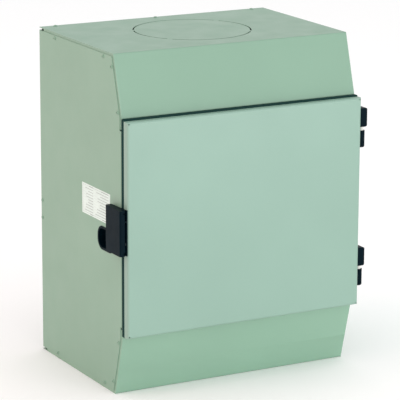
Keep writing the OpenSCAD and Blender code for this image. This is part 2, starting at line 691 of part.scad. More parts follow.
bearing_r = 9;
bearing_h = 7;
core_r = can_r - 3.6;
module motor_stator() in_cabinet() color(steel) at_fan() difference() {
    union() {
        rod_z(flange_z, bracket_z, 0, 0, can_r);
        rod_z(can_z + 5, flange_z, 0, 0, bearing_r + 4);
        rod_z(can_z + 8, wheel_top - 8, 0, 0, core_r);
        rod_z(bracket_z, bracket_z + bracket_t + 4, 0, 0, 13);
    }
    rod_z(can_z, bracket_z - 3, 0, 0, shaft_r + 1);
    for (z = [can_z + 4, bracket_z - 3 - bearing_h]) rod_z(z, z + bearing_h + 1, 0, 0, bearing_r);
    for (a = [45 : 90 : 315])
        rotate([0, 0, a]) rod_z(flange_z - 1, bracket_z + 1, motor_bolt_r, 0, screw_r);
}
module motor_bearings() in_cabinet() color(steel) at_fan()
    for (z = [can_z + 5, bracket_z - 3 - bearing_h])
        ring_z(z, z + bearing_h, 0, 0, shaft_r + running, bearing_r);
module motor_screws() in_cabinet() color(steel) at_fan()
    for (a = [45 : 90 : 315]) rotate([0, 0, a])
        translate([motor_bolt_r, 0, bracket_z + bracket_t]) screw(bracket_t + flange_t - 1);

// Fan wheel, rotor can and shaft turn together
shroud_lip = 5;
module fan_rotor() in_cabinet() color(steel) at_fan() {
    ring_z(wheel_top - 2, wheel_top, 0, 0, can_r - 3, wheel_r);
    ring_z(can_z, wheel_top, 0, 0, can_r - 3, can_r);
    rod_z(can_z, can_z + 3, 0, 0, can_r);
    rod_z(can_z, bracket_z - 4, 0, 0, shaft_r);
    ring_z(wheel_z, wheel_z + shroud_lip + wheel_sheet, 0, 0, eye_r, eye_r + wheel_sheet);
    ring_z(wheel_z + shroud_lip, wheel_z + shroud_lip + wheel_sheet, 0, 0, eye_r, wheel_r);
    for (k = [0 : blades - 1]) rotate([0, 0, 360 * k / blades]) blade();
}
module blade() {
    curl = 38;
    steps = 6;
    along_z(wheel_z + shroud_lip + wheel_sheet / 2, wheel_top - 1)
        polygon(strip([for (i = [0 : steps])
            let (r = eye_r + 3 + (wheel_r - eye_r - 5) * i / steps, a = -curl * i / steps)
            [r * cos(a), r * sin(a)]], wheel_sheet));
}

/* Cartridge and its clamp */
seal_h = 7;
cap_h = 8;
support_t = 3;
support_w = 22;
support_len = 180;
support_bolt_x = 85;
rod_r = 4;
cart_top = seat_z - seal_h;
cart_low = cart_top - filter_h;
media_r = [96, filter_d / 2 - 2];
media_t = 0.7;
washer_t = 2;
knob_h = 15;
rod_low = cart_low - washer_t - knob_h - 6;

module rod_support() in_cabinet() color(steel) at_fan() difference() {
    box([-support_len / 2, -support_w / 2, seat_z - support_t], [support_len / 2, support_w / 2, seat_z]);
    rod_z(seat_z - 5, seat_z + 5, 0, 0, rod_r + slack);
    for (x = [-1, 1]) rod_z(seat_z - 5, seat_z + 5, x * support_bolt_x, 0, screw_r);
}
module clamp_rod() in_cabinet() color(steel) at_fan() rod_z(rod_low, seat_z + 10, 0, 0, rod_r);
module rod_fixings() in_cabinet() color(steel) at_fan() {
    for (z = [seat_z, seat_z - support_t - 6.5]) difference() {
        rod_z(z, z + 6.5, 0, 0, 7.5, $fn = 6);
        rod_z(z - 1, z + 8, 0, 0, rod_r);
    }
    for (x = [-1, 1]) translate([x * support_bolt_x, 0, seat_top + ring_t])
        screw(support_t + sheet_t + ring_t);
}
module cartridge_cap(z0, z1, hole) { ring_z(z0, z1, 0, 0, hole, filter_d / 2, $fn = 96); }
module cartridge_top_cap() in_cabinet() color(black) at_fan() {
    cartridge_cap(cart_top - cap_h, cart_top, media_r[0] - 2);
}
module cartridge_bottom_cap() in_cabinet() color(black) at_fan() {
    cartridge_cap(cart_low, cart_low + cap_h, rod_r + 1);
}
module pleated_media() in_cabinet() color(paper) at_fan()
    along_z(cart_low + cap_h, cart_top - cap_h) difference() {
        pleat_star(media_r[0] + media_t, media_r[1]);
        pleat_star(media_r[0], media_r[1] - media_t * 3);
    }
module pleat_star(r0, r1) {
    polygon([for (i = [0 : 2 * pleats - 1]) let (a = 180 * i / pleats, r = i % 2 == 0 ? r1 : r0)
        r * [cos(a), sin(a)]]);
}
module core_tube() in_cabinet() color(steel) at_fan()
    ring_z(cart_low + cap_h, cart_top - cap_h, 0, 0, media_r[0] - 2, media_r[0] - 0.8, $fn = 96);
module carbon_wrap() in_cabinet() color(foam) at_fan()
    ring_z(cart_low + 2, cart_top - 2, 0, 0, filter_d / 2 + 0.1, filter_d / 2 + wrap_t, $fn = 96);
module cartridge_seal() in_cabinet() color(black) at_fan()
    ring_z(cart_top, seat_z, 0, 0, support_len / 2 + 8, support_len / 2 + 22, $fn = 96);
module clamp_washer() in_cabinet() color(black) at_fan()
    ring_z(cart_low - washer_t, cart_low, 0, 0, rod_r + slack, 22);
module clamp_knob() in_cabinet() color(black) at_fan() translate([0, 0, cart_low - washer_t - knob_h])
    difference() {
    union() {
        rod_z(0, knob_h, 0, 0, 12);
        for (a = [0 : 90 : 270]) rotate([0, 0, a]) {
            rod_z(0, knob_h - 3, 16, 0, 5.5);
            box([8, -5.5, 0], [16, 5.5, knob_h - 3]);
        }
    }
    rod_z(-1, knob_h + 1, 0, 0, rod_r + running);
}

/* Foam lining */
liner_front = max(top_slope_d, low_slope_d) + flange_w + 2;
liner_low = flange_w + 4;
liner_high = seat_z - 2;
liner_side = wall_x - flange_w - 2;
module liner_back() in_cabinet() color(foam) difference() {
    box([box_x1 + 6 - wall_x, back_y - liner_t, liner_low], [liner_side, back_y, liner_high]);
    rod_y(back_y - liner_t - 1, back_y + 1, 0, collar_z, collar_d / 2 + 2);
    for (a = collar_screw_angles) rod_y(back_y - liner_t - 1, back_y + 1,
        collar_screw_pcd_r * cos(a), collar_z + collar_screw_pcd_r * sin(a), screw_r + 1);
}
module liner_left() in_cabinet() color(foam) difference() {
    box([-wall_x, liner_front, liner_low], [liner_t - wall_x, back_y - box_d - 4, liner_high]);
    box([-wall_x - 1, 0, cup_z - 6], [liner_t + 1 - wall_x, cup_reach + 6, cup_z + cup_h + 6]);
}
module liner_right() in_cabinet() color(foam)
    box([wall_x - liner_t, liner_front, liner_low], [wall_x, back_y - liner_t - 1, liner_high]);
module liner_bottom() in_cabinet() color(foam)
    box([-liner_side, low_slope_d + 4, sheet_t], [liner_side, back_y - flange_w - 4, sheet_t + liner_t]);
module liner_top() in_cabinet() color(foam) difference() {
    box([-liner_side, top_slope_d + 4, cab_h - sheet_t - liner_t],
        [liner_side, back_y - flange_w - 4, cab_h - sheet_t]);
    rod_z(cab_h - sheet_t - liner_t - 1, cab_h, 0, (top_slope_d + cab_d) / 2, knock_d / 2 + 4);
}

/* Wiring */
box_x1 = 64;
box_d = 80;
box_t = 1;
tab = 11;
tab_t = 2;
gland_x = -wall_x + 34;
gland_z = wiring_z + 28;
gland_barrel_r = 8;
gland_head_r = 11;
box_top = wiring_z + wiring_h;
cover_screw_z = [wiring_z + tab / 2, box_top - tab / 2];
module at_box() { translate([-wall_x, back_y - box_d, wiring_z]) children(); }
module wiring_box() in_cabinet() color(steel) difference() {
    at_box() {
        difference() {
            intersection() {
                box([0, 0, 0], [box_x1, box_d, wiring_h]);
                along_z(0, wiring_h) rounded_plate([0, 0], [box_x1 + fold_r, box_d], fold_r);
            }
            box([box_t, box_t, box_t], [box_x1 + 1, box_d - box_t, wiring_h - box_t]);
        }
        for (z = [0, wiring_h - tab]) box([box_x1 - tab_t, 20, z], [box_x1, box_d - 20, z + tab]);
    }
    for (p = wiring_screws) rod_x(-side_x - 1, -side_x + 8, p[0], p[1], screw_r);
    rod_y(back_y - 5, back_y + 1, gland_x, gland_z, gland_barrel_r + slack);
    rod_z(box_top - 4, box_top + 1, grommet_at[0], grommet_at[1], lead_r + slack);
    for (z = cover_screw_z) rod_x(box_x1 - wall_x - 4, box_x1 - wall_x + 1, back_y - box_d / 2, z, screw_r);
    rod_y(back_y - box_d - 1, back_y - box_d + 3, switch_lead_x, switch_lead_z, switch_lead_r + slack);
}
module wiring_cover() in_cabinet() color(steel) difference() {
    at_box() box([box_x1, 0, 0], [box_x1 + box_t, box_d, wiring_h]);
    for (z = cover_screw_z) rod_x(box_x1 - wall_x - 4, box_x1 - wall_x + 3, back_y - box_d / 2, z, screw_r);
}
module terminal_block() in_cabinet() color(paper) at_box() difference() {
    box([box_t, 16, 62], [box_t + 16, 52, 82]);
    for (y = [22 : 12 : 46]) rod_x(box_t + 8, box_t + 17, y, 72, 3);
}
module capacitor() in_cabinet() color(steel) at_box() {
    rod_z(box_t, box_t + 46, 38, 22, 14);
    for (x = [34, 42]) rod_z(box_t + 46, box_t + 52, x, 22, 2);
}
module cord_gland() in_cabinet() color(black) difference() {
    union() {
        rod_y(cab_d, cab_d + 4, gland_x, gland_z, gland_head_r, $fn = 6);
        rod_y(cab_d + 4, cab_d + 13, gland_x, gland_z, gland_head_r - 3.5);
        rod_y(back_y - 10, cab_d, gland_x, gland_z, gland_barrel_r);
    }
    rod_y(back_y - 11, cab_d + 14, gland_x, gland_z, gland_bore / 2);
}
module gland_nut() in_cabinet() color(black) difference() {
    rod_y(back_y - box_t - 5, back_y - box_t, gland_x, gland_z, gland_head_r, $fn = 6);
    rod_y(back_y - 9, back_y + 1, gland_x, gland_z, gland_barrel_r);
}
module baffle_grommet() in_cabinet() color(black)
    translate([grommet_at[0], grommet_at[1], seat_z + sheet_t / 2]) rotate_extrude() {
        polygon([[lead_r + slack, -3], [grommet_r + 2.5, -3], [grommet_r + 2.5, -sheet_t / 2],
            [grommet_r, -sheet_t / 2], [grommet_r, sheet_t / 2], [grommet_r + 2.5, sheet_t / 2],
            [grommet_r + 2.5, 3], [lead_r + slack, 3]]);
    }
motor_boss_top = bracket_z + bracket_t + 4;
module inner_leads() in_cabinet() color(black) {
    swept(concat([[switch_x, switch_y + 24, switch_z]],
        cubic([[switch_x, switch_y + 28, switch_z], [switch_x, switch_y + 55, switch_z],
            [switch_lead_x, switch_y + 70, switch_lead_z],
            [switch_lead_x, switch_y + 110, switch_lead_z]], 12),
        [[switch_lead_x, 180, switch_lead_z], [switch_lead_x, back_y - box_d + 6, switch_lead_z]]),
        switch_lead_r);
    g = [grommet_at[0], grommet_at[1]];
    arch = motor_boss_top + 42;
    swept(concat([for (z = [box_top - 14, box_top + 30, box_top + 70, seat_z - 8]) [g[0], g[1], z]],
        cubic([[g[0], g[1], seat_top + 15], [g[0], g[1], arch], [-6, fan_y, arch],
            [-6, fan_y, motor_boss_top + 5]], 16),
        [[-6, fan_y, motor_boss_top]]), lead_r, 10);
}

/* Door switch */
switch_x = 34 - wall_x;
switch_z = 385;
switch_y = sheet_t + 1.5;
plunger_tip = -2;
plunger_r = 3;
switch_lead_x = 18 - wall_x;
switch_lead_z = wiring_z + wiring_h - 18;
switch_lead_r = 2;
module switch_bracket() in_cabinet() color(steel) difference() {
    box([3 - wall_x, sheet_t, switch_z - 16], [switch_x + 9, switch_y, switch_z + 16]);
    rod_y(0, switch_y + 1, switch_x, switch_z, plunger_r + running);
}
module door_switch() in_cabinet() color(black) difference() {
    box([switch_x - 8, switch_y, switch_z - 14], [switch_x + 8, switch_y + 24, switch_z + 14]);
    rod_y(switch_y - 1, switch_y + 14, switch_x, switch_z, plunger_r + 2);
}
module switch_plunger() in_cabinet() color(paper) {
    rod_y(plunger_tip, switch_y + 8, switch_x, switch_z, plunger_r);
    rod_y(switch_y + 3, switch_y + 5, switch_x, switch_z, plunger_r + 1.5);
}

shell_wrap();
top_panel();
bottom_panel();
shell_screws();
fixing_screws();
inlet_collar();
rating_label();
finger_cup();
keeper();
hinge_body_leaves();
hinge_pins();
hinge_bushes();
baffle();
inlet_ring();
inlet_ring_rivets();
fan_isolators();
fan_bracket();
motor_stator();
motor_bearings();
motor_screws();
rod_support();
clamp_rod();
rod_fixings();
clamp_washer();
clamp_knob();
cartridge_top_cap();
cartridge_bottom_cap();
pleated_media();
core_tube();
carbon_wrap();
cartridge_seal();
liner_back();
liner_left();
liner_right();
liner_bottom();
liner_top();
wiring_box();
wiring_cover();
terminal_block();
capacitor();
cord_gland();
gland_nut();
baffle_grommet();
inner_leads();
switch_bracket();
door_switch();
switch_plunger();
door_pan();
door_inner_panel();
door_insulation();
door_gasket();
door_rivets();
hinge_door_leaves();
hinge_door_screws();
latch_base();
latch_pin();
latch_screws();
latch_paddle();
latch_spring();
fan_rotor();
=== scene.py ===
"""Looks of a ducted air filter cabinet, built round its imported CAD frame. Metres, +Z up."""
import json
import math
import random

import bmesh
import bpy
from mathutils import Matrix, Vector


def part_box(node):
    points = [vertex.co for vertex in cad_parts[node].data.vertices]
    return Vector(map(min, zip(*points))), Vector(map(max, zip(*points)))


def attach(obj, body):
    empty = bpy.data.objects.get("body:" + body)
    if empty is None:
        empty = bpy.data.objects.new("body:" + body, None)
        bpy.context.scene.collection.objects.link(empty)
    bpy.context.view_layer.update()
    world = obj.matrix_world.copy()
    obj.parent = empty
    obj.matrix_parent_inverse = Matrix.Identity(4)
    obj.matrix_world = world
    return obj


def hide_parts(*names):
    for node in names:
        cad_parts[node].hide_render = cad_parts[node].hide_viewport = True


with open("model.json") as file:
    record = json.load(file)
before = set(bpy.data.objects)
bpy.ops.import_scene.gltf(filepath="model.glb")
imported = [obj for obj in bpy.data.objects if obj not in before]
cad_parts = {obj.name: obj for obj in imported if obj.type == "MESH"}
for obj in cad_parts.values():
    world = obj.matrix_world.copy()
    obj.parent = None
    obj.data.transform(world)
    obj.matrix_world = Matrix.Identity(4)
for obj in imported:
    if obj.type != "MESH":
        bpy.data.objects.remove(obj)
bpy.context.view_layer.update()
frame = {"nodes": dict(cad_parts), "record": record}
NODES = frame["nodes"]
SLOT_OF = {s["node"]: s["material_slot"] for s in frame["record"]["subparts"]}
BODY_OF = {node: body
           for body, nodes in frame["record"]["behaviour"]["bodies"].items() for node in nodes}
MM = 0.001


# ---------------------------------------------------------------- camera, floor and light
AIM = Vector((-0.00075, -0.0325, 0.2925))
AZIMUTH, ELEVATION, ROLL = math.radians(-28.5), math.radians(13.96), math.radians(0.24)
DISTANCE = 4.221
SENSOR_MM = 36
LENS_MM = 217.6
SHIFT_X, SHIFT_Y = -0.00525, -0.0045
FAR_CLIP = 60

LIT_POINT = Vector((0, 0, 0.3))
WORLD_STRENGTH = 0.98
FLOOR_HALF = 14
# Each light: place, size, power in watts, colour, and whether it shows in gloss.
LIGHTS = {
    "overhead": ((0.2, 0.2, 3.6), (4.5, 4.5), 14, (1.0, 1.0, 1.0), True),
    "front": ((0.6, -3.0, 0.5), (2.6, 0.9), 36, (0.99, 1.0, 1.0), True),
    "left": ((-3.4, 0.1, 1.0), (2.0, 2.0), 34, (1.0, 0.42, 0.34), False),
}


def make_camera():
    data = bpy.data.cameras.new("camera")
    data.sensor_width = SENSOR_MM
    data.lens = LENS_MM
    data.shift_x = SHIFT_X
    data.shift_y = SHIFT_Y
    data.clip_end = FAR_CLIP
    cam = bpy.data.objects.new("camera", data)
    back = Vector((math.sin(AZIMUTH) * math.cos(ELEVATION),
                   -math.cos(AZIMUTH) * math.cos(ELEVATION),
                   math.sin(ELEVATION)))
    turn = back.to_track_quat("Z", "Y").to_matrix().to_4x4() @ Matrix.Rotation(ROLL, 4, "Z")
    cam.matrix_world = Matrix.Translation(AIM + DISTANCE * back) @ turn
    bpy.context.scene.collection.objects.link(cam)
    bpy.context.scene.camera = cam


def area_light(name, place, size, power, colour, in_gloss):
    data = bpy.data.lights.new(name, "AREA")
    data.shape = "RECTANGLE"
    data.size, data.size_y = size
    data.energy = power
    data.color = colour
    light = bpy.data.objects.new(name, data)
    light.visible_glossy = in_gloss
    turn = (Vector(place) - LIT_POINT).to_track_quat("Z", "Y").to_matrix().to_4x4()
    light.matrix_world = Matrix.Translation(place) @ turn
    bpy.context.scene.collection.objects.link(light)


def make_studio():
    scene = bpy.context.scene
    scene.view_settings.view_transform = "Standard"
    world = bpy.data.worlds.new("studio")
    world.use_nodes = True
    backdrop = world.node_tree.nodes["Background"]
    backdrop.inputs["Color"].default_value = (1.0, 1.0, 1.0, 1)
    backdrop.inputs["Strength"].default_value = WORLD_STRENGTH
    scene.world = world
    for name, facts in LIGHTS.items():
        area_light(name, *facts)

    h = FLOOR_HALF
    mesh = bpy.data.meshes.new("floor")
    mesh.from_pydata([(-h, -h, 0), (h, -h, 0), (h, h, 0), (-h, h, 0)], [], [(0, 1, 2, 3)])
    floor = bpy.data.objects.new("floor", mesh)
    scene.collection.objects.link(floor)
    mat = Shader("floor_paper").finish(colour=(0.97, 0.97, 0.97), roughness=0.9, specular=0.1)
    mesh.materials.append(mat)


# ---------------------------------------------------------------- node materials
class Shader:
    """Builds one procedural material. Textures run in the object's coordinates, in metres."""

    def __init__(self, name):
        self.mat = bpy.data.materials.new(name)
        self.mat.use_nodes = True
        self.tree = self.mat.node_tree
        self.bsdf = self.tree.nodes["Principled BSDF"]
        self.coords = self.tree.nodes.new("ShaderNodeTexCoord").outputs["Object"]

    def node(self, kind, **values):
        node = self.tree.nodes.new(kind)
        for key, value in values.items():
            setattr(node, key, value)
        return node

    def link(self, source, target):
        if hasattr(source, "is_output"):
            self.tree.links.new(source, target)
        else:
            target.default_value = source

    def stretch(self, scale):
        node = self.node("ShaderNodeMapping")
        self.link(self.coords, node.inputs["Vector"])
        node.inputs["Scale"].default_value = scale
        return node.outputs["Vector"]

    def noise(self, per_metre, detail=3.0, rough=0.5, vector=None):
        node = self.node("ShaderNodeTexNoise")
        self.link(vector or self.coords, node.inputs["Vector"])
        node.inputs["Scale"].default_value = per_metre
        node.inputs["Detail"].default_value = detail
        node.inputs["Roughness"].default_value = rough
        return node.outputs["Fac"]

    def cells(self, per_metre, output="Distance"):
        node = self.node("ShaderNodeTexVoronoi")
        self.link(self.coords, node.inputs["Vector"])
        node.inputs["Scale"].default_value = per_metre
        return node.outputs[output]

    def math(self, operation, a, b=0.0, clamp=False):
        node = self.node("ShaderNodeMath", operation=operation, use_clamp=clamp)
        self.link(a, node.inputs[0])
        self.link(b, node.inputs[1])
        return node.outputs[0]

    def ranged(self, value, low, high, from_low=0.3, from_high=0.7):
        """Maps a value onto low to high. A noise texture spans about 0.3 to 0.7."""
        node = self.node("ShaderNodeMapRange")
        self.link(value, node.inputs["Value"])
        node.inputs["From Min"].default_value = from_low
        node.inputs["From Max"].default_value = from_high
        node.inputs["To Min"].default_value = low
        node.inputs["To Max"].default_value = high
        return node.outputs["Result"]

    def blend(self, fac, a, b):
        node = self.node("ShaderNodeMix", data_type="RGBA")
        self.link(fac, node.inputs["Factor"])
        self.link(a if hasattr(a, "is_output") else (*a, 1), node.inputs["A"])
        self.link(b if hasattr(b, "is_output") else (*b, 1), node.inputs["B"])
        return node.outputs["Result"]

    def tinted(self, colour, spread, per_metre, detail=3.0):
        """The colour, lighter and darker in soft patches."""
        dark = [c * (1 - spread) for c in colour]
        light = [min(1, c * (1 + spread)) for c in colour]
        return self.blend(self.ranged(self.noise(per_metre, detail), 0, 1), dark, light)

    def bump(self, height, strength, depth_mm, under=None):
        node = self.node("ShaderNodeBump")
        self.link(height, node.inputs["Height"])
        node.inputs["Strength"].default_value = strength
        node.inputs["Distance"].default_value = depth_mm * MM
        if under is not None:
            self.link(under, node.inputs["Normal"])
        return node.outputs["Normal"]

    def finish(self, colour, roughness, metallic=0.0, specular=0.5, normal=None, **sockets):
        ins = self.bsdf.inputs
        self.link(colour if hasattr(colour, "is_output") else (*colour, 1), ins["Base Color"])
        self.link(roughness, ins["Roughness"])
        self.link(metallic, ins["Metallic"])
        ins["Specular IOR Level"].default_value = specular
        if normal is not None:
            self.link(normal, ins["Normal"])
        for name, value in sockets.items():
            ins[name.replace("_", " ")].default_value = value
        return self.mat


def powder_coat(name, colour):
    """Satin paint on sheet steel: faint patches, light specks and a fine orange peel."""
    s = Shader(name)
    tone = s.tinted(colour, 0.025, 5.0, 2.0)
    speck = s.ranged(s.noise(900, 2.0), 0.0, 0.06, 0.45, 0.75)
    tone = s.blend(speck, tone, [min(1, c * 1.5) for c in colour])
    rough = s.ranged(s.noise(22, 4.0), 0.36, 0.46)
    peel = s.bump(s.noise(420, 2.0), 0.10, 0.12)
    grain = s.bump(s.noise(1700, 1.0), 0.06, 0.05, peel)
    return s.finish(tone, rough, specular=0.5, normal=grain)


def moulded(name, colour, rough=(0.42, 0.55), grain=1600, specular=0.45):
    """Plastic with a spark-eroded grain."""
    s = Shader(name)
    tone = s.tinted(colour, 0.10, 60.0)
    roughness = s.ranged(s.noise(90, 4.0), *rough)
    spark = s.bump(s.noise(grain, 3.0, 0.7), 0.35, 0.06)
    return s.finish(tone, roughness, specular=specular, normal=spark)


def rubbery(name, colour):
    s = Shader(name)
    tone = s.tinted(colour, 0.12, 120.0)
    fine = s.bump(s.noise(2400, 2.0), 0.25, 0.04)
    rough = s.ranged(s.noise(150, 3.0), 0.6, 0.78)
    return s.finish(tone, rough, specular=0.35, normal=fine)


def foamy(name, colour, cells_per_metre, depth_mm, sheen=0.15):
    """Foam with painted shade in its pores: each pore dark at its middle and lighter at its walls.
    """
    s = Shader(name)
    pores = s.cells(cells_per_metre)
    # Painted shade: each pore is darkened towards its middle. The noise patches below add random
    # tone.
    shade = s.ranged(pores, 0.55, 1.0, 0.0, 0.55)
    patches = s.math("MULTIPLY", shade, s.ranged(s.noise(14, 3.0), 0.88, 1.08))
    tone = s.blend(patches, [c * 0.25 for c in colour], colour)
    return s.finish(tone, 0.95, specular=0.12, normal=s.bump(pores, 0.8, depth_mm),
                    Sheen_Weight=sheen, Sheen_Roughness=0.6)


def galvanised():
    """Hot-dip zinc: flat spangles of differing grey, about 9 mm across."""
    s = Shader("galvanised")
    spangle = s.cells(110, output="Color")
    grey = s.node("ShaderNodeRGBToBW")
    s.link(spangle, grey.inputs[0])
    flake = s.math("ADD", s.math("MULTIPLY", grey.outputs[0], 0.6),
                   s.math("MULTIPLY", s.noise(260, 4.0), 0.4))
    tone = s.blend(s.ranged(flake, 0, 1, 0.15, 0.85), (0.26, 0.275, 0.29), (0.44, 0.45, 0.46))
    rough = s.ranged(flake, 0.30, 0.52, 0.15, 0.85)
    return s.finish(tone, rough, metallic=0.85, normal=s.bump(s.noise(300, 3.0), 0.08, 0.05))


def plated():
    """Bright zinc plate with faint streaks."""
    s = Shader("zinc_plated")
    streak = s.noise(60, 3.0, vector=s.stretch((20, 1, 1)))
    tone = s.blend(s.ranged(streak, 0, 1), (0.40, 0.41, 0.40), (0.60, 0.60, 0.57))
    return s.finish(tone, s.ranged(s.noise(400, 3.0), 0.22, 0.36), metallic=1.0,
                    normal=s.bump(s.noise(900, 2.0), 0.06, 0.03))


def cast_aluminium():
    s = Shader("cast_aluminium")
    tone = s.tinted((0.60, 0.61, 0.62), 0.08, 40.0)
    return s.finish(tone, s.ranged(s.noise(120, 4.0), 0.38, 0.55), metallic=0.9,
                    normal=s.bump(s.noise(700, 4.0), 0.3, 0.12))


def paper_media():
    s = Shader("filter_media")
    fibres = s.noise(300, 5.0, 0.7, s.stretch((1, 1, 0.2)))
    tone = s.blend(s.ranged(fibres, 0, 1), (0.70, 0.69, 0.63), (0.86, 0.85, 0.80))
    return s.finish(tone, 0.9, specular=0.15, normal=s.bump(fibres, 0.3, 0.15))


def fibre_board():
    s = Shader("insulation")
    fibres = s.noise(220, 6.0, 0.75, s.stretch((1, 0.3, 2)))
    tone = s.blend(s.ranged(fibres, 0, 1), (0.55, 0.50, 0.40), (0.76, 0.72, 0.62))
    return s.finish(tone, 0.95, specular=0.1, normal=s.bump(fibres, 0.6, 0.4))


LABEL_ROWS = 11
LABEL_DASHES = 46
LABEL_BAR = (0.30, 0.62)
LABEL_RULE = (0.93, 0.99)
LEFT_COLUMN, RIGHT_COLUMN = 0.06, 0.60
INK_STRENGTH, FRAME_STRENGTH, RULE_STRENGTH = 0.60, 0.5, 0.25


def label_film():
    """A blank rating plate: a frame, ruled rows and short grey bars, with nothing written."""
    low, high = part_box("rating_label")
    s = Shader("label_film")
    split = s.node("ShaderNodeSeparateXYZ")
    s.link(s.coords, split.inputs[0])
    across = s.ranged(split.outputs["Y"], 0, 1, low.y, high.y)
    up = s.ranged(split.outputs["Z"], 0, 1, low.z, high.z)

    def between(value, a, b):
        return s.math("MULTIPLY", s.math("GREATER_THAN", value, a), s.math("LESS_THAN", value, b))

    row_pos = s.math("FRACT", s.math("MULTIPLY", up, LABEL_ROWS))
    row_no = s.math("FLOOR", s.math("MULTIPLY", up, LABEL_ROWS))
    bar = between(row_pos, *LABEL_BAR)
    # A length from 0 to 1 that differs from row to row, for bars of uneven length.
    length = s.math("FRACT", s.math("MULTIPLY", s.math("SINE", s.math("MULTIPLY", row_no, 12.99)),
                                    43.7))
    left_end = s.math("ADD", s.math("MULTIPLY", length, 0.25), 0.28)
    left_bar = s.math("MULTIPLY", bar, between(across, LEFT_COLUMN, left_end))
    right_end = s.math("ADD", s.math("MULTIPLY", length, 0.2), 0.72)
    right_bar = s.math("MULTIPLY", bar, between(across, RIGHT_COLUMN, right_end))
    dashes = s.math("GREATER_THAN", s.math("FRACT", s.math("MULTIPLY", across, LABEL_DASHES)), 0.25)
    ink = s.math("MULTIPLY", s.math("ADD", left_bar, right_bar, True), dashes)
    inside = s.math("MULTIPLY", between(across, 0.03, 0.97), between(up, 0.05, 0.95))
    inner = s.math("MULTIPLY", between(across, 0.036, 0.964), between(up, 0.062, 0.938))
    border = s.math("SUBTRACT", inside, inner, True)
    rule = s.math("MULTIPLY", between(row_pos, *LABEL_RULE), inner)
    lines = s.math("ADD", s.math("MULTIPLY", border, FRAME_STRENGTH),
                   s.math("MULTIPLY", rule, RULE_STRENGTH))
    printed = s.math("ADD", s.math("MULTIPLY", ink, INK_STRENGTH), lines, True)
    film = s.tinted((0.62, 0.76, 0.71), 0.04, 45)
    tone = s.blend(printed, film, (0.10, 0.13, 0.13))
    return s.finish(tone, s.ranged(s.noise(300, 2.0), 0.30, 0.38), specular=0.5,
                    normal=s.bump(s.noise(800, 2.0), 0.05, 0.02))


MINT_SHELL = (0.214, 0.358, 0.264)
# Painted light: the door colour is the shell paint made lighter, not a paint of its own.
MINT_DOOR_PAINTED_LIGHT = (0.231, 0.363, 0.297)
# Painted shade on the top panel (shell paint made darker) and painted light on the bottom panel
# (shell paint made lighter).
TOP_PAINTED_SHADE, BOTTOM_PAINTED_LIGHT = 0.94, 1.07
MAKERS = {
    "mint_coat": lambda: powder_coat("mint_shell", MINT_SHELL),
    "galvanised": galvanised,
    "zinc_plated": plated,
    "black_plastic": lambda: moulded("black_plastic", (0.0008, 0.0070, 0.0115), specular=0.04,
                                     rough=(0.34, 0.44)),
    "white_plastic": lambda: moulded("white_plastic", (0.74, 0.74, 0.69), grain=900),
    "label_film": label_film,
    "gasket_foam": lambda: foamy("gasket_foam", (0.010, 0.040, 0.036), 1400, 0.25, sheen=0.0),
    "rubber": lambda: rubbery("rubber", (0.022, 0.022, 0.024)),
    "lining_foam": lambda: foamy("lining_foam", (0.085, 0.09, 0.10), 700, 0.6),
    "insulation": fibre_board,
    "filter_media": paper_media,
    "carbon_foam": lambda: foamy("carbon_foam", (0.035, 0.035, 0.038), 450, 0.9),
    "aluminium": cast_aluminium,
    "wire_sheath": lambda: rubbery("wire_sheath", (0.018, 0.018, 0.020)),
}


def dress_nodes():
    """Gives every CAD node its material. The door, top and bottom get lighter or darker copies of
    the shell paint: painted light and painted shade.
    """
    made = {}
    # Painted light and shade: a lighter door and bottom and a darker top, all copies of the one
    # shell paint.
    lit_and_shaded_paints = {"door_pan": powder_coat("mint_door_painted_light", MINT_DOOR_PAINTED_LIGHT),
              "top_panel": powder_coat("mint_top_painted_shade", [TOP_PAINTED_SHADE * c for c in MINT_SHELL]),
              "bottom_panel": powder_coat("mint_bottom_painted_light", [BOTTOM_PAINTED_LIGHT * c for c in MINT_SHELL])}
    for name, obj in NODES.items():
        slot = SLOT_OF[name]
        if slot not in made:
            made[slot] = MAKERS[slot]()
        mat = lit_and_shaded_paints.get(name, made[slot])
        obj.data.materials.clear()
        obj.data.materials.append(mat)
        for polygon in obj.data.polygons:
            polygon.material_index = 0
            polygon.use_smooth = True


EDGE_MM = {"mint_coat": 0.35, "galvanised": 0.25, "zinc_plated": 0.3, "black_plastic": 0.6,
           "white_plastic": 0.4, "gasket_foam": 1.2, "rubber": 0.5, "lining_foam": 1.0,
           "carbon_foam": 0.8, "aluminium": 0.5}
WELD_MM = 0.01
FLAT_ANGLE, EDGE_ANGLE = math.radians(0.6), math.radians(35)


def soften_edges():
    """Rounds each node's edges a little, as the real piece's are."""
    for name, obj in NODES.items():
        width = EDGE_MM.get(SLOT_OF[name])
        if width is None:
            continue
        weld = obj.modifiers.new("weld", "WELD")
        weld.merge_threshold = WELD_MM * MM
        flat = obj.modifiers.new("flat", "DECIMATE")
        flat.decimate_type = "DISSOLVE"
        flat.angle_limit = FLAT_ANGLE
        bevel = obj.modifiers.new("bevel", "BEVEL")
        bevel.width = width * MM
        bevel.segments = 2
        bevel.limit_method = "ANGLE"
        bevel.angle_limit = EDGE_ANGLE
        normals = obj.modifiers.new("normals", "WEIGHTED_NORMAL")
        normals.keep_sharp = False


# ---------------------------------------------------------------- screws with a cross recess
SCREW_NODES = ("shell_screws", "fixing_screws", "hinge_door_screws", "motor_screws")
# The recess's shares of the head's radius and height, and the share of the head's height that
# its straight rim takes.
RECESS_ARM, RECESS_WIDTH, RECESS_DEPTH = 0.60, 0.17, 0.55
RIM_SHARE = 0.4
DOME_STEPS = 7
LATHE_SEGMENTS = 28
THREAD_PITCH = 0.5 * MM
THREAD_ROOT = 0.86
SCREW_SHARP_DEGREES = 32


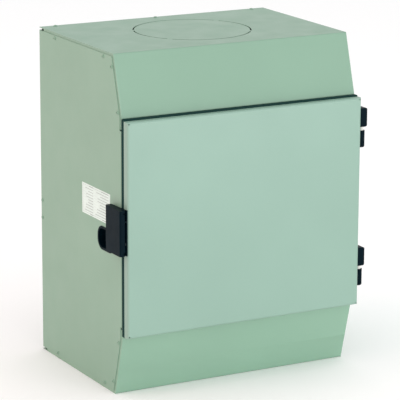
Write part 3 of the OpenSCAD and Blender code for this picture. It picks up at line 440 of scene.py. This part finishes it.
def mesh_object(name, bm):
    mesh = bpy.data.meshes.new(name)
    bm.to_mesh(mesh)
    bm.free()
    obj = bpy.data.objects.new(name, mesh)
    bpy.context.scene.collection.objects.link(obj)
    bpy.context.view_layer.update()
    return obj


def smooth(obj, degrees):
    """Smooth shading, with edges sharper than the angle kept crisp."""
    for polygon in obj.data.polygons:
        polygon.use_smooth = True
    obj.data.set_sharp_from_angle(angle=math.radians(degrees))


def islands(mesh):
    """Groups of vertex places, one for each loose solid of a mesh, in the mesh's own order."""
    bm = bmesh.new()
    bm.from_mesh(mesh)
    bmesh.ops.remove_doubles(bm, verts=bm.verts, dist=1e-6)
    seen = set()
    for first in bm.verts:
        if first in seen:
            continue
        seen.add(first)
        group = [first]
        for vert in group:
            for edge in vert.link_edges:
                other = edge.other_vert(vert)
                if other not in seen:
                    seen.add(other)
                    group.append(other)
        yield [v.co.copy() for v in group]
    bm.free()


def lathe(profile):
    """A closed solid of revolution about Z through (radius, height) points, ends on the axis."""
    bm = bmesh.new()
    count = LATHE_SEGMENTS
    steps = [(math.cos(2 * math.pi * k / count), math.sin(2 * math.pi * k / count))
             for k in range(count)]
    ends = [bm.verts.new((0, 0, profile[0][1])), bm.verts.new((0, 0, profile[-1][1]))]
    rings = [[bm.verts.new((r * c, r * s, z)) for c, s in steps] for r, z in profile[1:-1]]
    for k in range(count):
        m = (k + 1) % count
        bm.faces.new((ends[0], rings[0][m], rings[0][k]))
        bm.faces.new((ends[1], rings[-1][k], rings[-1][m]))
        for low, high in zip(rings, rings[1:]):
            bm.faces.new((low[k], low[m], high[m], high[k]))
    bmesh.ops.recalc_face_normals(bm, faces=bm.faces)
    return bm


def recess_cutter(head_r, head_h):
    """Two crossed bars that stand above the head and reach down into it."""
    cross = bmesh.new()
    bar = (2 * RECESS_ARM * head_r, 2 * RECESS_WIDTH * head_r, head_h)
    for turn in (0, math.pi / 2):
        made = bmesh.ops.create_cube(cross, size=1)["verts"]
        bmesh.ops.scale(cross, vec=bar, verts=made)
        bmesh.ops.rotate(cross, matrix=Matrix.Rotation(turn, 3, "Z"), verts=made)
        bmesh.ops.translate(cross, vec=(0, 0, head_h * (1.5 - RECESS_DEPTH)), verts=made)
    return mesh_object("screw_recess", cross)


def screw_mesh(head_r, head_h, shank_r, length):
    """A pan head screw with a cross recess, its head's underside at z = 0 and its point down."""
    angles = [math.pi / 2 * i / DOME_STEPS for i in range(DOME_STEPS)]
    dome = [(head_r * math.cos(a), head_h * (RIM_SHARE + (1 - RIM_SHARE) * math.sin(a)))
            for a in angles]
    thread = []
    turns = max(3, round(length / THREAD_PITCH))
    for i in range(turns):
        z = -length + length * i / turns
        thread += [(shank_r * THREAD_ROOT, z), (shank_r, z + length / turns / 2)]
    profile = [(0, -length), *thread, (shank_r, 0), (head_r, 0), *dome, (0, head_h)]
    solid = mesh_object("screw_solid", lathe(profile))
    cutter = recess_cutter(head_r, head_h)
    cut = solid.modifiers.new("cut", "BOOLEAN")
    cut.object = cutter
    cut.solver = "EXACT"
    cut.use_self = True
    whole = solid.evaluated_get(bpy.context.evaluated_depsgraph_get())
    mesh = bpy.data.meshes.new_from_object(whole)
    for spare in (solid, cutter):
        bpy.data.objects.remove(spare)
    return mesh


def measure_screw(points):
    """Where a CAD screw's head sits, which way it faces, and its sizes in millimetres."""
    low = Vector([min(p[i] for p in points) for i in range(3)])
    high = Vector([max(p[i] for p in points) for i in range(3)])
    size = high - low
    middle = (low + high) / 2
    # The axis is the side of the box that is least like the other two.
    axis = max(range(3), key=lambda i: min(abs(size[i] - size[j]) for j in range(3) if j != i))
    others = [i for i in range(3) if i != axis]

    def radius(p):
        return math.hypot(*(p[i] - middle[i] for i in others))

    head_r = max(radius(p) for p in points)
    wide = [p[axis] for p in points if radius(p) > 0.97 * head_r]
    way = 1 if sum(wide) / len(wide) > middle[axis] else -1
    tip, top = (low[axis], high[axis]) if way > 0 else (high[axis], low[axis])
    seat = min(wide, key=lambda v: abs(v - tip))
    shank_r = max(radius(p) for p in points if abs(p[axis] - tip) < 0.05 * MM)
    place = Vector(middle)
    place[axis] = seat
    out = Vector((0, 0, 0))
    out[axis] = way
    sizes = (head_r, abs(top - seat), shank_r, abs(seat - tip))
    return place, out, tuple(round(v / MM, 2) for v in sizes)


def make_screws():
    """Puts a detailed screw in each CAD screw's place, its recess turned at random."""
    spin = random.Random(7)
    for node in SCREW_NODES:
        joined = bmesh.new()
        shapes = {}
        for points in islands(NODES[node].data):
            place, out, key = measure_screw(points)
            if key not in shapes:
                shapes[key] = screw_mesh(*(v * MM for v in key))
            turn = out.to_track_quat("Z", "Y").to_matrix().to_4x4()
            recess_turn = Matrix.Rotation(spin.uniform(0, math.pi / 2), 4, "Z")
            before = len(joined.verts)
            joined.from_mesh(shapes[key])
            joined.verts.ensure_lookup_table()
            bmesh.ops.transform(joined, matrix=Matrix.Translation(place) @ turn @ recess_turn,
                                verts=joined.verts[before:])
        piece = mesh_object(node + "_cross", joined)
        smooth(piece, SCREW_SHARP_DEGREES)
        piece.data.materials.clear()
        piece.data.materials.append(NODES[node].data.materials[0])
        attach(piece, BODY_OF[node])
        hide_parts(node)


make_camera()
make_studio()
dress_nodes()
soften_edges()
make_screws()
